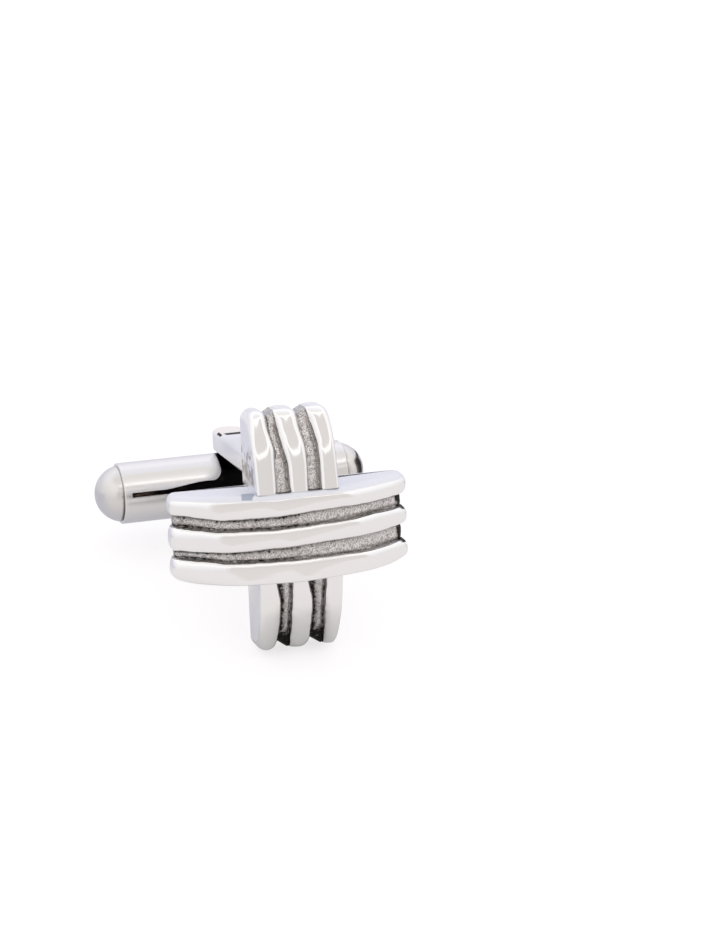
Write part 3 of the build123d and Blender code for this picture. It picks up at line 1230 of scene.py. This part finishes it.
# %% Studio
world = bpy.data.worlds.new("studio")
bpy.context.scene.world = world
world.use_nodes = True
tree = world.node_tree
tree.nodes.clear()
unit = vectors(tree, "NORMALIZE", put(tree, "ShaderNodeTexCoord").outputs["Generated"])
parts = put(tree, "ShaderNodeSeparateXYZ", Vector=unit).outputs
height = maths(tree, "MULTIPLY_ADD", maths(tree, "ARCSINE", parts["Z"]), 1 / math.pi, 0.5)
flat = put(tree, "ShaderNodeCombineXYZ", X=parts["X"], Y=parts["Y"], Z=0.0).outputs[0]
flat = vectors(tree, "NORMALIZE", flat)


def sector(azimuth, outer, inner):
    """1 within some degrees of an azimuth (0 is in front, 90 on the right), 0 further off."""
    way = math.radians(azimuth)
    facing = vectors(tree, "DOT_PRODUCT", flat, (math.sin(way), -math.cos(way), 0))
    return span(tree, facing, math.cos(math.radians(outer)), math.cos(math.radians(inner)))


FRONT_ROOM = [
    # height above the horizon in degrees, colour
    (-90, (0.90, 0.88, 0.87)),
    (0, (0.80, 0.76, 0.75)),
    (20, (0.76, 0.73, 0.72)),
    (33, (0.76, 0.735, 0.72)),
    (35.5, (1.22, 1.20, 1.19)),
    (37.5, (1.22, 1.20, 1.19)),
    (39.5, (0.79, 0.76, 0.745)),
    (49, (0.79, 0.76, 0.745)),
    (52, (1.5, 1.48, 1.48)),
    (57, (1.5, 1.48, 1.48)),
    (60, (1.05, 1.03, 1.02)),
    (68, (1.0, 0.98, 0.965)),
    (78, (0.94, 0.92, 0.905)),
    (90, (0.94, 0.92, 0.905)),
]
SIDE_ROOM = [
    # height above the horizon in degrees, colour
    (-90, (0.88, 0.865, 0.86)),
    (0, (0.88, 0.87, 0.885)),
    (30, (1.06, 1.05, 1.06)),
    (48, (1.12, 1.11, 1.11)),
    (60, (0.95, 0.93, 0.915)),
    (90, (0.94, 0.92, 0.905)),
]
BACK_ROOM = [
    # height above the horizon in degrees, colour
    (-90, (0.95, 0.95, 0.98)),
    (0, (0.80, 0.80, 0.87)),
    (30, (1.08, 1.08, 1.16)),
    (48, (1.16, 1.15, 1.22)),
    (60, (1.02, 1.02, 1.08)),
    (76, (1.0, 1.0, 1.05)),
    (90, (0.94, 0.92, 0.905)),
]


def ramp(tree, value, rows):
    """Colours by height, from rows of (degrees, colour)."""
    made = put(tree, "ShaderNodeValToRGB", Fac=value)
    stops = made.color_ramp.elements
    while len(stops) < len(rows):
        stops.new(0.5)
    for stop, (degrees, colour) in zip(stops, rows):
        stop.position = degrees / 180 + 0.5
    for stop, (degrees, colour) in zip(stops, rows):
        stop.color = (*colour, 1)
    return made.outputs[0]


sky = ramp(tree, height, SIDE_ROOM)
sky = blend(tree, sector(180, 75, 50), sky, ramp(tree, height, BACK_ROOM))
sky = blend(tree, sector(10, 54, 40), sky, ramp(tree, height, FRONT_ROOM))
background = put(tree, "ShaderNodeBackground", Color=sky, Strength=1.0)
put(tree, "ShaderNodeOutputWorld", Surface=background.outputs[0])
print("studio in", len(FRONT_ROOM) + len(SIDE_ROOM) + len(BACK_ROOM), "bands of light")

# %% [markdown]
# The floor is one pale sheet. The camera sees it nearly white, as in the picture. The
# steel sees darker colours, because the real sheet was in the shade of the link and of
# the camera: the floor's paint asks what kind of ray has come, and where it lands.

# %% Floor
work = bmesh.new()
bmesh.ops.create_grid(work, x_segments=1, y_segments=1, size=3)
floor_mesh = bpy.data.meshes.new("floor")
work.to_mesh(floor_mesh)
work.free()
floor = object_of(floor_mesh)
pale, tree, shader = new_material("pale floor")
seen = put(tree, "ShaderNodeLightPath").outputs["Is Camera Ray"]
spot = put(tree, "ShaderNodeNewGeometry").outputs["Position"]
away = put(tree, "ShaderNodeSeparateXYZ", Vector=spot).outputs["Y"]
arm_foot = Vector(to_row((0, -rear_half, 0), head_axes, head_place))
arm_foot.z = 0
from_foot = vectors(tree, "DISTANCE", spot, arm_foot)
mirrored = (0.11, 0.11, 0.12)
for distance, near, far, shade in (
    (from_foot, 0.0003, 0.003, (0.35, 0.345, 0.345)),
    (from_foot, 0.003, 0.010, (0.60, 0.585, 0.575)),
    (away, 0.0, 0.012, (0.42, 0.43, 0.50)),
    (away, 0.015, 0.05, (0.60, 0.60, 0.64)),
    (away, 0.15, 0.5, (0.62, 0.62, 0.70)),
):
    mirrored = blend(tree, span(tree, distance, near, far), mirrored, shade)
wire(
    tree, shader, Base_Color=blend(tree, seen, mirrored, (0.35, 0.35, 0.355)),
    Roughness=0.9, Specular_IOR_Level=0.0, Emission_Color=(1.0, 0.985, 0.985),
    Emission_Strength=maths(tree, "MULTIPLY_ADD", seen, 0.45, 0.26),
)
finish_with(pale, floor)

# %% [markdown]
# The right dome has a dark crescent in it, broad at its foot and thin at its tip. Painted
# into the world's ramps it would show in the front bar too. So here a small dark card
# stands beside the dome, cut to the crescent's shape, and only mirrors see it.

# %% Dark card
dome_middle = pivot_place + toggle_way * (shoulder - dome_sink)
card_azimuth = math.radians(100)
card_distance = 8
card_rise = 3.4
card_way = np.array((math.sin(card_azimuth), -math.cos(card_azimuth), 0))
across_card = np.array((-card_way[1], card_way[0], 0))
card_middle = dome_middle + card_way * card_distance + (0, 0, card_rise)
CRESCENT = (
    # millimetres across the card and up it
    (-4.5, -6.0), (1.4, -6.0), (1.9, -4.3), (2.9, -2.6), (8.0, -4.8), (9.0, -4.0), (1.9, -0.6),
    (-2.0, 0.9), (-3.3, 0.4), (-4.0, -3.5),
)
corners = [(card_middle + across_card * u + (0, 0, v)) * MM for u, v in CRESCENT]
dark_card = object_of(mesh_of("dark_card", corners, [range(len(corners))]))
dark_card.visible_camera = False
dark_card.visible_shadow = False
dark_card.visible_diffuse = False
dull, tree, shader = new_material("dark card")
wire(tree, shader, Base_Color=(0.02, 0.013, 0.01), Roughness=0.9)
finish_with(dull, dark_card)

# %% [markdown]
# The camera stands where the photograph was taken from. Its place was worked out from
# the corners of both bars, and it is turned a little about its own axis, because the
# picture was not quite level.

# %% Camera
camera_target = Vector((5.123, -6.026, 11.876)) * MM
camera_azimuth = math.radians(-17.834)
camera_elevation = math.radians(25.898)
camera_roll = math.radians(2.124)
camera_distance = 180 * MM
back = Vector((
    math.sin(camera_azimuth) * math.cos(camera_elevation),
    -math.cos(camera_azimuth) * math.cos(camera_elevation),
    math.sin(camera_elevation),
))
right = Vector((math.cos(camera_azimuth), math.sin(camera_azimuth), 0))
up = back.cross(right)
camera_x = right * math.cos(camera_roll) + up * math.sin(camera_roll)
camera_y = up * math.cos(camera_roll) - right * math.sin(camera_roll)
lens = bpy.data.cameras.new("camera")
lens.lens = 103.481
lens.sensor_width = 36
lens.clip_start = 0.01
camera = bpy.data.objects.new("camera", lens)
turned = Matrix((camera_x, camera_y, back)).transposed().to_4x4()
camera.matrix_world = Matrix.Translation(camera_target + back * camera_distance) @ turned
bpy.context.scene.collection.objects.link(camera)
bpy.context.scene.camera = camera
bpy.context.scene.view_settings.view_transform = "Standard"
print("camera at", [round(v / MM, 1) for v in camera.location], "mm")
